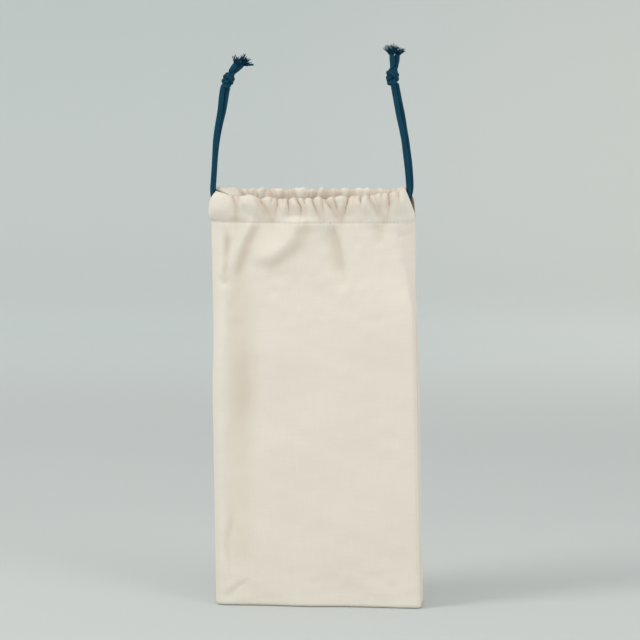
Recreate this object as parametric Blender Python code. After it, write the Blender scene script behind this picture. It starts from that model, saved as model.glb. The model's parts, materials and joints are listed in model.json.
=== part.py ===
"""A tall cotton drawstring bag, standing open-mouthed with its cord ends up.

One long strip of cloth is folded at the foot and sewn up both sides. Each end of
the strip is turned down inside as a casing, and the side seams stop below it, so
the casings are open at both ends. Two drawstrings run round the mouth through
both casings: each leaves at its own side, where its two ends are knotted.
X is to the right, -Y is the front, Z is up. The foot stands on Z = 0.
"""

import bmesh
import bpy
from math import cos, exp, pi, radians, sin, sqrt
from mathutils import Vector

# The bag's own sizes, in metres
foot_width = 0.1656
waist_width = 0.1632
casing_width = 0.1660
body_depth = 0.034
mouth_depth = 0.026
foot_radius = 0.004
cloth_thickness = 0.0008
lean = 0.0058

# The casings: the stitch line, and the rims, which sag in the middle of the front
stitch_height = 0.3068
front_rim_height = 0.3275
front_rim_rise = 0.0052
front_rim_tilt = 0.0018
back_rim_height = 0.3330
back_rim_rise = 0.0012
hem_width = 0.132
slit_gap = 0.0036
left_end_pull = 0.006
right_end_pull = 0.009

# The gathers, drawn up on the cords
pleat_count = 15
pleat_depth = 0.0026
hem_pleat_depth = 0.0014
rim_pleat_depth = 0.0018
pucker_depth = 0.0009
crease_length = 0.045

# The drawstrings, and how close sewn or threaded pieces lie
cord_diameter = 0.004
cord_slack = 0.0008
lane_gap = 0.0040
lane_rise = 0.0032
clearance = 0.0003
thread_diameter = 0.0005
knot_height = 0.0106
knot_radius = 0.0058

# Low down the section is a box with round corners. From this share of the height up it is
# drawn into the mouth's curve, whose power is from the middle of the bag to its side seam
left_corner = 0.0085
right_corner = 0.0030
corner_steps = (0, 45, 90)
mouth_power = 3.2
mouth_starts = 0.55
# How far from the side seam its slope is measured, as a share of the way to the other one
side_share = 0.015

# The front and back face sag beside the left corner and stand out towards the right one
sag_depth = 0.0020
sag_place = -0.056
sag_width = 0.018
swell_depth = 0.0010

# The gathers lie between two plain ends, and no two are alike. Shares of the bag's half width
plain_end = 0.82
pleat_wander = 0.28
shallowest_pleat = 0.44
crest_shares = ((0.0, 0.0), (0.3, 0.85), (0.68, 1.0))
end_ridge = 0.45

# How far up the cloth each row of points lies: shares of the body, then of the casing
body_rows = (0.06, 0.22, 0.42, 0.62, 0.78)
crease_rows = (0.55, 0.14)
casing_rows = (0.0, 0.15, 0.5, 0.80, 0.93)
foot_steps = (30, 60, 90)

# The free stretches of the cords, from the knot down to the casing, picked from the photograph
left_front_strand = (
    (-0.0737, -0.0011, 0.4148), (-0.0745, -0.0013, 0.4115), (-0.0754, -0.0016, 0.4050),
    (-0.0764, -0.0019, 0.3952), (-0.0783, -0.0021, 0.3840), (-0.0799, -0.0022, 0.3728),
    (-0.0806, -0.0023, 0.3616), (-0.0812, -0.0024, 0.3504), (-0.0820, -0.0025, 0.3392),
    (-0.0824, -0.0025, 0.3320), (-0.0817, -0.0026, 0.3255), (-0.0795, -0.0029, 0.3192),
    (-0.0758, -0.0036, 0.3148),
)
left_back_strand = (
    (-0.0697, 0.0011, 0.4132), (-0.0706, 0.0013, 0.4100), (-0.0716, 0.0016, 0.4050),
    (-0.0738, 0.0019, 0.3952), (-0.0766, 0.0021, 0.3840), (-0.0788, 0.0022, 0.3728),
    (-0.0803, 0.0023, 0.3616), (-0.0812, 0.0024, 0.3504), (-0.0820, 0.0025, 0.3392),
    (-0.0824, 0.0025, 0.3320), (-0.0817, 0.0026, 0.3255), (-0.0795, 0.0029, 0.3192),
    (-0.0758, 0.0036, 0.3148),
)
right_front_strand = (
    (0.0611, -0.0019, 0.4164), (0.0618, -0.0019, 0.4125), (0.0636, -0.0019, 0.4024),
    (0.0657, -0.0019, 0.3912), (0.0682, -0.0019, 0.3800), (0.0699, -0.0019, 0.3712),
    (0.0709, -0.0020, 0.3632), (0.0719, -0.0020, 0.3552), (0.0728, -0.0021, 0.3472),
    (0.0735, -0.0022, 0.3392), (0.0738, -0.0026, 0.3330), (0.0728, -0.0034, 0.3275),
    (0.0700, -0.0049, 0.3232),
)
right_back_strand = (
    (0.0636, 0.0019, 0.4163), (0.0644, 0.0019, 0.4125), (0.0664, 0.0019, 0.4024),
    (0.0687, 0.0019, 0.3912), (0.0705, 0.0019, 0.3800), (0.0720, 0.0019, 0.3712),
    (0.0731, 0.0020, 0.3632), (0.0742, 0.0020, 0.3552), (0.0749, 0.0021, 0.3472),
    (0.0754, 0.0022, 0.3392), (0.0753, 0.0026, 0.3330), (0.0738, 0.0034, 0.3275),
    (0.0700, 0.0049, 0.3232),
)
# The tails above each knot, from the knot to the frayed tip
left_left_tail = ((-0.0694, -0.0012, 0.4268), (-0.0664, -0.0014, 0.4310),
                  (-0.0640, -0.0016, 0.4352), (-0.0624, -0.0018, 0.4408))
left_right_tail = ((-0.0659, 0.0012, 0.4255), (-0.0622, 0.0014, 0.4292),
                   (-0.0572, 0.0016, 0.4326), (-0.0506, 0.0018, 0.4362))
right_left_tail = ((0.0607, -0.0014, 0.4283), (0.0608, -0.0015, 0.4340),
                   (0.0604, -0.0016, 0.4390), (0.0606, -0.0018, 0.4492))
right_right_tail = ((0.0643, 0.0014, 0.4283), (0.0649, 0.0015, 0.4340),
                    (0.0656, 0.0016, 0.4390), (0.0678, 0.0018, 0.4468))
tail_flare = 2.0

cloth_colour = (0.730, 0.680, 0.590)
cord_colour = (0.010, 0.048, 0.090)
thread_colour = (0.790, 0.750, 0.660)


def material(name, colour, roughness):
    """A plain fibre finish."""
    made = bpy.data.materials.new(name)
    made.use_nodes = True
    shader = made.node_tree.nodes["Principled BSDF"]
    shader.inputs["Base Color"].default_value = (*colour, 1.0)
    shader.inputs["Roughness"].default_value = roughness
    return made


def add_object(name, data, finish):
    made = bpy.data.objects.new(name, data)
    made.data.materials.append(finish)
    bpy.context.scene.collection.objects.link(made)
    return made


def smooth_step(value):
    held = min(1.0, max(0.0, value))
    return held * held * (3 - 2 * held)


def mix(a, b, share):
    return a + (b - a) * share


def shift(z):
    """How far the bag leans to the side at a height: right at the foot, left at the mouth."""
    return lean * (0.5 - z / back_rim_height)


def half_width(z):
    """Half the width between the side seams, and of the casing above them."""
    body = mix(foot_width, waist_width, min(1.0, z / stitch_height))
    casing = smooth_step((z - stitch_height) / (2 * cord_diameter))
    return mix(body, casing_width, casing) / 2


def rim_height(front, s):
    if front:
        return front_rim_height + front_rim_tilt * s + front_rim_rise * s * s
    return back_rim_height + back_rim_rise * s * s


def casing_share(front, s, z):
    """0 at the stitch line and 1 at the rim."""
    rim = rim_height(front, s)
    return min(1.0, max(0.0, (z - stitch_height) / (rim - stitch_height)))


def middle_surface(front, x, z):
    """Half the mouth's depth at a place of the casings, with the gathers left out."""
    s = min(1.0, abs(x) / half_width(z))
    side = slit_gap * casing_share(front, s, z)
    return side + (mouth_depth / 2 - side) * (1 - s**mouth_power)


def channel_gap(share):
    """Half the gap that the casing leaves for the cords, between its outer wall and its hem."""
    open_share = sqrt(max(0.0, 1 - abs(2 * share - 1) ** 4))
    return mix(clearance / 2, cord_diameter / 2 + cord_slack, open_share)


def wall_thickness(s):
    """The cloth's thickness along Y, which grows where the wall turns towards the side seam."""
    return cloth_thickness * (1 + 0.6 * abs(s) ** 6)


def at_share(line, share):
    """The point at a share of a line's length."""
    steps = [(b - a).length for a, b in zip(line, line[1:])]
    left = share * sum(steps)
    for start, end, step in zip(line, line[1:], steps):
        if left <= step:
            return start.lerp(end, left / step)
        left -= step
    return line[-1].copy()


def box_line(z):
    """The body's box on its inner face, from the left seam to the right: (x, depth) points."""
    wide, deep = half_width(z) - cloth_thickness, body_depth / 2 - cloth_thickness
    line = [Vector((-wide, 0.0))]
    for angle in corner_steps:
        turn, rise = 1 - cos(radians(angle)), sin(radians(angle))
        line.append(Vector((-wide + left_corner * turn, deep - left_corner * (1 - rise))))
    for angle in corner_steps[::-1]:
        turn, rise = 1 - cos(radians(angle)), sin(radians(angle))
        line.append(Vector((wide - right_corner * turn, deep - right_corner * (1 - rise))))
    return line + [Vector((wide, 0.0))]


def mouth_line(z):
    """The mouth's curve, from the left seam to the right."""
    places = [n / 24 - 1 for n in range(49)]
    return [
        Vector((s * half_width(z), mouth_depth / 2 * (1 - abs(s) ** mouth_power)))
        for s in places
    ]


def mouth_share(s):
    """The share of the mouth's curve that lies to the left of a place."""
    line = mouth_line(stitch_height)
    steps = [(b - a).length for a, b in zip(line, line[1:])]
    passed = 0.0
    for a, b, step in zip(line, line[1:], steps):
        x = s * half_width(stitch_height)
        passed += step * min(1.0, max(0.0, (x - a.x) / (b.x - a.x)))
    return passed / sum(steps)


def body_shares():
    """The places of the body's columns, as shares of the way from seam to seam: its corners
    have their own, and the rest stand at even steps between them."""
    line = box_line(foot_radius)
    steps = [(b - a).length for a, b in zip(line, line[1:])]
    marks = [sum(steps[:n]) / sum(steps) for n in range(len(steps) + 1)]
    marks[-1] = 1.0
    left, right = marks[:len(marks) // 2], marks[len(marks) // 2:]
    return left, right


def body_point(share, z):
    """A point of the body's inner face: the box low down, and the mouth's curve at the top."""
    towards_mouth = smooth_step((z / stitch_height - mouth_starts) / (1 - mouth_starts))
    point = at_share(box_line(z), share).lerp(at_share(mouth_line(z), share), towards_mouth)
    on_face = smooth_step((half_width(z) - abs(point.x)) / (4 * right_corner))
    sag = sag_depth * exp(-((point.x - sag_place) / sag_width) ** 2)
    swell = swell_depth * smooth_step(point.x / half_width(z))
    point.y += (swell - sag) * on_face * (1 - 0.6 * towards_mouth)
    return point


def wall_pair(front, share, ridge, z):
    """The body wall's outer and inner point, at a share of the way from seam to seam."""
    near = 0.004
    run = body_point(min(1.0, share + near), z) - body_point(max(0.0, share - near), z)
    out = Vector((-run.y, run.x)).normalized()
    fade = 1 - smooth_step((stitch_height - z) / crease_length)
    inner = body_point(share, z) + Vector((0, clearance / 2 + pucker_depth * fade * ridge))
    outer = inner + out * cloth_thickness
    return place(front, outer.x, z, outer.y), place(front, inner.x, z, inner.y)


def ridge_columns(front):
    """(place, ridge) for each column of points: place runs from -1 to 1 across the bag,
    and ridge is 0 in a pleat's valley and about 1 on its crest. Between the plain ends
    lie the pleats, each a little wider or deeper than the next."""
    turn = 0.7 if front else 2.9
    valleys = []
    for k in range(pleat_count + 1):
        wander = pleat_wander * sin(2.4 * k + turn) if 0 < k < pleat_count else 0
        valleys.append(plain_end * (-1 + 2 * (k + wander) / pleat_count))
    lobe = (1 + plain_end) / 2
    columns = [(-1.0, 0.0), (-lobe, end_ridge)]
    for k in range(pleat_count):
        crest = mix(shallowest_pleat, 1.0, 0.5 + 0.5 * sin(1.9 * k + turn))
        for at, rise in crest_shares:
            columns.append((mix(valleys[k], valleys[k + 1], at), rise * crest))
    columns += [(plain_end, 0.0), (lobe, end_ridge), (1.0, 0.0)]
    return columns


def end_pull(front, s, share):
    """How far the cords have drawn in the casing's end: slanted at the right of the front."""
    if front and s > 0:
        return right_end_pull * share**1.3 * s**6
    return left_end_pull * share**4 * abs(s) ** 6


def hem_place(s):
    """The hem is turned in at its ends, so the cords can pass beside it."""
    narrowing = 1 - hem_width / casing_width
    return s - narrowing * s * abs(s) ** 4


def place(front, x, z, depth):
    """A point: x from the bag's own middle line, and depth outwards from its middle plane."""
    return Vector((x + shift(z), -depth if front else depth, z))


def fold_drop(s, share):
    """How much lower the cloth's inner face lies beside the fold along the rim."""
    drop = smooth_step((share - 0.8) / 0.13) * cloth_thickness
    return Vector((0, 0, drop * (0.45 + 0.55 * s**6)))


def outer_pair(front, s, ridge, z):
    """The casing wall's outer and inner point at a height."""
    share = casing_share(front, s, z)
    sign = 1 if s > 0 else -1
    x = s * half_width(z) - sign * end_pull(front, s, share)
    depth = middle_surface(front, s * half_width(z), z)
    full = smooth_step(share / 0.25)
    raised = mix(pucker_depth, pleat_depth, full)
    raised = mix(raised, rim_pleat_depth, smooth_step((share - 0.7) / 0.3))
    inner = depth + channel_gap(share) + raised * ridge
    return (
        place(front, x, z, inner + wall_thickness(s)),
        place(front, x, z, inner) - fold_drop(s, share),
    )


def hem_pair(front, s, ridge, share):
    """The hem's two faces: the first is the cloth's outer face, which faces into the bag."""
    z = mix(stitch_height, rim_height(front, s), share)
    x = hem_place(s) * half_width(z)
    depth = middle_surface(front, x, z)
    raised = -hem_pleat_depth * smooth_step(share / 0.3)
    raised = mix(raised, rim_pleat_depth, smooth_step((share - 0.7) / 0.3))
    channel = depth - channel_gap(share) + raised * ridge
    return (
        place(front, x, z, channel - cloth_thickness),
        place(front, x, z, channel) - fold_drop(s, share),
    )


def fold_pair(front, s, ridge):
    """The fold along the rim, between the wall and the hem."""
    z = rim_height(front, s)
    wall = outer_pair(front, s, ridge, z)[0]
    hem = hem_pair(front, s, ridge, 1.0)[0]
    top = (wall + hem) / 2
    top.z = z + cloth_thickness
    return top, top - Vector((0, 0, cloth_thickness))


def foot_pair(front, across, angle):
    """The wall's turn under the foot, from upright at 0 to level at 90 degrees."""
    z = foot_radius
    outer, inner = wall_pair(front, across, 0.0, z)
    out = (outer - inner).normalized()
    turn, lift = 1 - cos(radians(angle)), 1 - sin(radians(angle))
    points = []
    for point, floor in ((outer, 0.0), (inner, cloth_thickness)):
        reach = min(foot_radius - floor, 0.6 * abs(point.y))
        points.append(point - out * reach * turn)
        points[-1].z = floor + (z - floor) * lift
    return tuple(points)


def half_rows(front):
    """The strip's rows from its hem's edge to the foot: each a list of (column, pair)."""
    columns = ridge_columns(front)
    every = list(range(len(columns)))
    few = sorted(set(every[::3]) | {every[-1]})
    left, right = body_shares()
    between = len(few) - len(left) - len(right) + 1
    face = [mix(left[-1], right[0], n / between) for n in range(1, between)]
    low_shares = left + face + right

    rows = []
    for share in casing_rows:
        rows.append([(c, hem_pair(front, *columns[c], share)) for c in every])
    rows.append([(c, fold_pair(front, *columns[c])) for c in every])
    for share in reversed(casing_rows):
        rows.append([
            (c, outer_pair(front, *columns[c],
                           mix(stitch_height, rim_height(front, columns[c][0]), share)))
            for c in every
        ])
    for share in crease_rows[::-1]:
        z = stitch_height - crease_length * share
        rows.append([
            (c, wall_pair(front, mouth_share(columns[c][0]), columns[c][1], z)) for c in every
        ])
    for share in reversed(body_rows):
        z = mix(foot_radius, stitch_height - crease_length, share)
        drawn = smooth_step(share)
        rows.append([
            (c, wall_pair(front, mix(low_shares[n], mouth_share(columns[c][0]), drawn), 0.0, z))
            for n, c in enumerate(few)
        ])
    for angle in (0, *foot_steps):
        rows.append([
            (c, foot_pair(front, low_shares[n], angle)) for n, c in enumerate(few)
        ])
    return rows


def strips(mesh, rows):
    """Triangles between rows of (column, vertex), where one row may hold more columns. Both
    faces of the cloth are cut up alike, so they keep their distance."""
    for upper, lower in zip(rows, rows[1:]):
        coarse, fine = (upper, lower) if len(upper) < len(lower) else (lower, upper)
        for (a, first), (b, second) in zip(coarse, coarse[1:]):
            between = [v for c, v in fine if a <= c <= b]
            half = len(between) // 2
            for one, two in zip(between[:half], between[1:half + 1]):
                mesh.faces.new([first, one, two])
            mesh.faces.new([first, between[half], second])
            for one, two in zip(between[half:], between[half + 1:]):
                mesh.faces.new([second, one, two])


def bag_cloth(finish):
    """The folded strip, as one slab of cloth with an outer and an inner face."""
    rows = half_rows(True) + half_rows(False)[::-1]
    mesh = bmesh.new()
    faces = [
        [[(c, mesh.verts.new(pair[side])) for c, pair in row] for row in rows]
        for side in (0, 1)
    ]
    strips(mesh, faces[0])
    strips(mesh, faces[1])
    for end in (0, -1):
        for (o1, o2), (i1, i2) in zip(
            zip(faces[0], faces[0][1:]), zip(faces[1], faces[1][1:])
        ):
            mesh.faces.new([o1[end][1], o2[end][1], i2[end][1], i1[end][1]])
        outer, inner = faces[0][end], faces[1][end]
        for n in range(len(outer) - 1):
            mesh.faces.new([outer[n][1], outer[n + 1][1], inner[n + 1][1], inner[n][1]])
    bmesh.ops.recalc_face_normals(mesh, faces=mesh.faces)
    data = bpy.data.meshes.new("bag_cloth")
    mesh.to_mesh(data)
    mesh.free()
    data.shade_smooth()
    data.set_sharp_from_angle(angle=radians(50))
    return add_object("bag_cloth", data, finish)


def curve_point(a, b, c, d, share):
    """A point between b and c on the smooth curve through all four."""
    first = (b - a).length ** 0.5
    second = first + (c - b).length ** 0.5
    third = second + (d - c).length ** 0.5
    at = mix(first, second, share)
    ab = a.lerp(b, at / first)
    bc = b.lerp(c, share)
    cd = c.lerp(d, (at - second) / (third - second))
    abc = ab.lerp(bc, at / second)
    bcd = bc.lerp(cd, (at - first) / (third - first))
    return abc.lerp(bcd, share)


def smooth_route(points, spacing, turn=16):
    """Points along a smooth curve through a cord's own points: about a spacing apart where it
    runs straight, and closer in its bends, with one for each turn in degrees."""
    points = [Vector(p) for p in points]
    padded = [points[0] * 2 - points[1], *points, points[-1] * 2 - points[-2]]
    fine = []
    steps = 12
    for a, b, c, d in zip(padded, padded[1:], padded[2:], padded[3:]):
        fine += [curve_point(a, b, c, d, n / steps) for n in range(steps)]
    fine.append(points[-1])
    marks, before = [0.0], fine[1] - fine[0]
    for a, b in zip(fine, fine[1:]):
        step = b - a
        marks.append(marks[-1] + step.length / spacing + before.angle(step) / radians(turn))
        before = step
    count = max(2, round(marks[-1]))
    route, at = [], 0
    for n in range(count + 1):
        wanted = marks[-1] * n / count
        while at < len(fine) - 2 and marks[at + 1] < wanted:
            at += 1
        span = marks[at + 1] - marks[at]
        route.append(fine[at].lerp(fine[at + 1], (wanted - marks[at]) / span))
    return route


def tube(name, route, diameter, finish, roundness=2, flare=1.0):
    """A capped tube along a route, widening at its far end by the flare."""
    data = bpy.data.curves.new(name, "CURVE")
    data.dimensions = "3D"
    data.bevel_depth = diameter / 2
    data.bevel_resolution = roundness
    data.use_fill_caps = True
    spline = data.splines.new("POLY")
    spline.points.add(len(route) - 1)
    for n, point in enumerate(route):
        spline.points[n].co = (*point, 1.0)
        spline.points[n].radius = mix(1.0, flare, smooth_step(2 * n / (len(route) - 1) - 1))
    return add_object(name, data, finish)


def casing_run(front, z, start, end, steps):
    """The stretch of a cord inside one casing, with its points closer towards its ends."""
    run = []
    for n in range(steps + 1):
        x = mix(start, end, (1 - cos(pi * n / steps)) / 2)
        depth = middle_surface(front, x, z)
        run.append(Vector((x + shift(z), -depth if front else depth, z)))
    return run


def drawstring(side, lane, front_strand, back_strand, finish):
    """One cord: down from its knot, round the mouth through both casings, and up again."""
    z = stitch_height + lane_rise + cord_diameter / 2 + lane * (cord_diameter + lane_gap)
    inside = hem_width / 2 - cord_diameter / 2
    reach = 2 * cord_diameter
    depth = middle_surface(True, inside, z)
    loop = []
    for degrees in (30, 60, 90, 120, 150):
        out, around = sin(radians(degrees)), cos(radians(degrees))
        y = -depth * around * abs(around) ** 0.4
        loop.append(Vector((-side * (inside + reach * out) + shift(z), y, z)))
    front_run = casing_run(True, z, side * inside, -side * inside, 12)
    back_run = casing_run(False, z, -side * inside, side * inside, 12)
    points = [*front_strand, *front_run, *loop, *back_run, *reversed(back_strand)]
    name = "right_drawstring" if side > 0 else "left_drawstring"
    return tube(name, smooth_route(points, 4 * cord_diameter), cord_diameter, finish)


def knot(name, strands, lean_degrees, aside, finish):
    """The outer shape of the overhand knot that ties a cord's two ends: a barrel whose flat
    ends meet the strands and the tails."""
    foot = (Vector(strands[0][0]) + Vector(strands[1][0])) / 2
    axis = Vector((sin(radians(lean_degrees)), 0, cos(radians(lean_degrees))))
    across = Vector((axis.z, 0, -axis.x))
    out = Vector((0, 1, 0))
    profile = ((0.0, 0.80), (0.10, 0.93), (0.35, 1.0), (0.65, 1.0), (0.90, 0.93), (1.0, 0.80))
    count = 14
    mesh = bmesh.new()
    rings = []
    for share, wide in profile:
        centre = foot + axis * (3 * clearance + knot_height * share) + across * aside
        rings.append([
            mesh.verts.new(centre + knot_radius * wide * (
                across * cos(2 * pi * n / count) + out * sin(2 * pi * n / count)))
            for n in range(count)
        ])
    for lower, upper in zip(rings, rings[1:]):
        for n in range(count):
            m = (n + 1) % count
            mesh.faces.new([lower[n], lower[m], upper[m], upper[n]])
    mesh.faces.new(list(reversed(rings[0])))
    mesh.faces.new(rings[-1])
    bmesh.ops.recalc_face_normals(mesh, faces=mesh.faces)
    data = bpy.data.meshes.new(name)
    mesh.to_mesh(data)
    mesh.free()
    data.shade_smooth()
    data.set_sharp_from_angle(angle=radians(40))
    return add_object(name, data, finish)


def casing_thread(front, finish):
    """The line of stitching that holds the hem, on the outside of the wall."""
    out = 1.5 * clearance + thread_diameter / 2
    side = -1 if front else 1
    route = []
    for s, ridge in ridge_columns(front)[1:-1]:
        point = outer_pair(front, s, ridge, stitch_height)[0]
        route.append(point + Vector((0, side * out, 0)))
    name = "front_casing_thread" if front else "back_casing_thread"
    return tube(name, route, thread_diameter, finish, roundness=0)


def side_thread(side, finish):
    """The seam that closes one side, inside the fold between the front and the back."""
    count = 12
    route = []
    for n in range(count + 1):
        z = mix(2 * foot_radius, stitch_height, n / count)
        edge = 1.0 if side > 0 else 0.0
        seam, beside = body_point(edge, z), body_point(abs(edge - side_share), z)
        steepness = beside.y / (beside - seam).length
        inset = (thread_diameter / 2 + 1.3 * clearance) / steepness
        route.append(Vector((seam.x - side * inset + shift(z), 0, z)))
    name = "right_side_thread" if side > 0 else "left_side_thread"
    return tube(name, route, thread_diameter, finish, roundness=0)


def build():
    for old in list(bpy.data.objects):
        bpy.data.objects.remove(old)
    cloth = material("natural_cotton", cloth_colour, 0.9)
    cord = material("blue_cotton_cord", cord_colour, 0.85)
    thread = material("sewing_thread", thread_colour, 0.8)

    bag_cloth(cloth)
    for front in (True, False):
        casing_thread(front, thread)
    for side in (-1, 1):
        side_thread(side, thread)

    drawstring(-1, 0, left_front_strand, left_back_strand, cord)
    drawstring(1, 1, right_front_strand, right_back_strand, cord)
    knot("left_knot", (left_front_strand, left_back_strand), 21, -0.0006, cord)
    knot("right_knot", (right_front_strand, right_back_strand), 2, -0.0010, cord)
    for name, route in (
        ("left_knot_left_tail", left_left_tail),
        ("left_knot_right_tail", left_right_tail),
        ("right_knot_left_tail", right_left_tail),
        ("right_knot_right_tail", right_right_tail),
    ):
        tube(name, smooth_route(route, cord_diameter / 2), cord_diameter * 0.9, cord, flare=tail_flare)


build()
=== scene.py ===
import json
import math

import bmesh
import bpy
import numpy as np
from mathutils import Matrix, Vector

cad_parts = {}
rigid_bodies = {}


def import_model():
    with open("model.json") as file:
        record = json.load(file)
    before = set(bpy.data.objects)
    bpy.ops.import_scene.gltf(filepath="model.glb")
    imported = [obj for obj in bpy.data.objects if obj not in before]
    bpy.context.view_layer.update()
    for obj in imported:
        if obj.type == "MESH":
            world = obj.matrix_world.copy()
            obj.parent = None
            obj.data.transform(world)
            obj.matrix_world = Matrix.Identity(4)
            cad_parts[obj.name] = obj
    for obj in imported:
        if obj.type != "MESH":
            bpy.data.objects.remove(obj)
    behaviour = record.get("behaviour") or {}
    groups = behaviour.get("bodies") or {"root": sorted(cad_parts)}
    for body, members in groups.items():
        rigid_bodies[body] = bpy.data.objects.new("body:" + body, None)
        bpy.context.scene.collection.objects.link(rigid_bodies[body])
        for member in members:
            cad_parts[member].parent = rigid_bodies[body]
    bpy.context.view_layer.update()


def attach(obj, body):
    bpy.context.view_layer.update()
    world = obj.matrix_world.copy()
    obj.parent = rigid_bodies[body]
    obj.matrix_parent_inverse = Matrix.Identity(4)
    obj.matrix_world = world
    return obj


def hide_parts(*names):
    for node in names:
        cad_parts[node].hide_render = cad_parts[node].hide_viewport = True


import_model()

# The studio. A pale sheet is laid under the bag and swept up behind it. A soft lamp stands high
# at the front left and a weaker one low at the front right, and a pale sky lights all round.
# The camera stands two metres off, a little to the right.
camera_aim = Vector((0.0032, 0.0, 0.2287))
camera_turn = math.radians(5)
camera_rise = math.radians(5)
camera_distance = 2.0
camera_lens = 141
lamp_turn = math.radians(-58)
lamp_rise = math.radians(38)
lamp_distance = 3.2
lamp_aim = Vector((0.0, 0.0, 0.2))
lamp_size = 1.3
lamp_power = 37.5
lamp_colour = (1.0, 0.98, 0.95)
fill_turn = math.radians(48)
fill_rise = math.radians(16)
fill_size = 1.6
fill_power = 25.0
sky_colour = (1.0, 0.982, 0.955)
sky_strength = 0.77
sheet_reach = 3.5
sheet_front = -3.2
sheet_bend = 2.3
sheet_bend_radius = 0.6
sheet_top = 2.6
sheet_drop = 0.0002
flat_rows = 12
bend_rows = 24
wall_rows = 4
side_blend = 0.45
far_floor_blend = (0.22, 0.50)
bend_blend_start = 0.80
wall_blend = 0.32
floor_colour = (0.560, 0.600, 0.603)
far_floor_colour = (0.545, 0.578, 0.582)
# Painted light: the bend and wall colours are lighter than the floor, where the lamps' light falls off,
# and lighter at the right than at the left.
bend_left_painted_light = (0.676, 0.734, 0.738)
bend_right_painted_light = (0.754, 0.802, 0.792)
wall_left_painted_light = (0.596, 0.651, 0.655)
wall_right_painted_light = (0.646, 0.682, 0.668)


class Signal:
    """A socket of a node tree. A sum on it adds the Math node that works the sum out."""

    def __init__(self, tree, socket=None):
        self.tree = tree
        self.socket = socket

    def node(self, kind, sockets=None, output=0, **settings):
        """A new node with its settings and sockets set, as the signal of one of its outputs."""
        new = self.tree.nodes.new(kind)
        for name, value in settings.items():
            setattr(new, name, value)
        for name, value in (sockets or {}).items():
            if isinstance(value, Signal):
                self.tree.links.new(value.socket, new.inputs[name])
            else:
                new.inputs[name].default_value = value
        return Signal(self.tree, new.outputs[output])

    def sum(self, operation, first, second=0.0):
        return self.node("ShaderNodeMath", {0: first, 1: second}, operation=operation)

    def __add__(self, other):
        return self.sum("ADD", self, other)

    __radd__ = __add__

    def __sub__(self, other):
        return self.sum("SUBTRACT", self, other)

    def __rsub__(self, other):
        return self.sum("SUBTRACT", other, self)

    def __mul__(self, other):
        return self.sum("MULTIPLY", self, other)

    __rmul__ = __mul__

    def __truediv__(self, other):
        return self.sum("DIVIDE", self, other)

    def sine(self):
        return self.sum("SINE", self)

    def size(self):
        return self.sum("ABSOLUTE", self)

    def floor(self):
        return self.sum("FLOOR", self)

    def between(self, low, high):
        """0 below low, 1 above high, and a smooth step from one to the other."""
        ends = {"Value": self, "From Min": low, "From Max": high}
        return self.node("ShaderNodeMapRange", ends, interpolation_type="SMOOTHSTEP")

    def blend(self, first, second):
        """The first colour where this signal is 0, and the second where it is 1."""
        first, second = (end if isinstance(end, Signal) else (*end, 1.0) for end in (first, second))
        return self.node("ShaderNodeMix", {"Factor": self, 6: first, 7: second}, 2, data_type="RGBA")

    def noise(self, scale, detail):
        """A soft unevenness over the places that this signal gives."""
        return self.node("ShaderNodeTexNoise", {"Vector": self, "Scale": scale, "Detail": detail})

    def split(self):
        outputs = self.node("ShaderNodeSeparateXYZ", {0: self}).socket.node.outputs
        return [Signal(self.tree, output) for output in outputs]

    def into(self, shader, name):
        self.tree.links.new(self.socket, shader.inputs[name])

    def raise_surface(self, shader, strength, distance):
        sockets = {"Height": self, "Strength": strength, "Distance": distance}
        self.node("ShaderNodeBump", sockets).into(shader, "Normal")


def finish(name, roughness, specular=0.5, sheen=0.0):
    """A new material, its shader with its plain values set, and the object's own places."""
    made = bpy.data.materials.new(name)
    made.use_nodes = True
    shader = made.node_tree.nodes["Principled BSDF"]
    shader.inputs["Roughness"].default_value = roughness
    shader.inputs["Specular IOR Level"].default_value = specular
    shader.inputs["Sheen Weight"].default_value = sheen
    return made, shader, Signal(made.node_tree).node("ShaderNodeTexCoord", output="Object")


def placed(name, data, made=None):
    """A new object in the scene. A mesh that gets a material here is smooth all over."""
    if made:
        data.polygons.foreach_set("use_smooth", [True] * len(data.polygons))
        data.materials.append(made)
    item = bpy.data.objects.new(name, data)
    bpy.context.scene.collection.objects.link(item)
    return item


def net(name, places, made, closed=False, along=None, around=None):
    """A mesh on rows of places. Closed rows make a tube, which gets a flat cap at each end."""
    rows, columns = places.shape[:2]
    steps = columns if closed else columns - 1
    row, column = np.meshgrid(np.arange(rows - 1), np.arange(steps), indexing="ij")
    corners = ((row, column), (row, column + 1), (row + 1, column + 1), (row + 1, column))
    faces = np.stack([r * columns + c % columns for r, c in corners], axis=-1).reshape(-1, 4)
    faces = faces.tolist()
    if closed:
        faces.append(list(range(columns - 1, -1, -1)))
        faces.append(list(range((rows - 1) * columns, rows * columns)))
    mesh = bpy.data.meshes.new(name)
    mesh.from_pydata(places.reshape(-1, 3).tolist(), [], faces)
    if along is not None:
        flat = np.zeros((len(mesh.loops), 2))
        drawn = [np.stack([around[c], along[r]], axis=-1) for r, c in corners]
        drawn = np.stack(drawn, axis=2).reshape(-1, 2)
        flat[: len(drawn)] = drawn
        mesh.uv_layers.new(name="surface").data.foreach_set("uv", flat.ravel())
    return placed(name, mesh, made)


sheet_finish, sheet_shader, sheet_place = finish("studio_sheet", 0.9)
sheet_across, sheet_deep, _ = sheet_place.split()
# Painted light on the bend and wall, lighter towards the right. The floor turns a little darker from 0.22
# m to 0.5 m behind the bag.
sheet_side = sheet_across.between(-side_blend, side_blend)
bend_paint = sheet_side.blend(bend_left_painted_light, bend_right_painted_light)
wall_paint = sheet_side.blend(wall_left_painted_light, wall_right_painted_light)
sheet_paint = sheet_deep.between(*far_floor_blend).blend(floor_colour, far_floor_colour)
sheet_paint = sheet_deep.between(bend_blend_start, sheet_bend).blend(sheet_paint, bend_paint)
sheet_paint = sheet_deep.between(sheet_bend, sheet_bend + wall_blend).blend(sheet_paint, wall_paint)
sheet_paint.into(sheet_shader, "Base Color")

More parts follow.
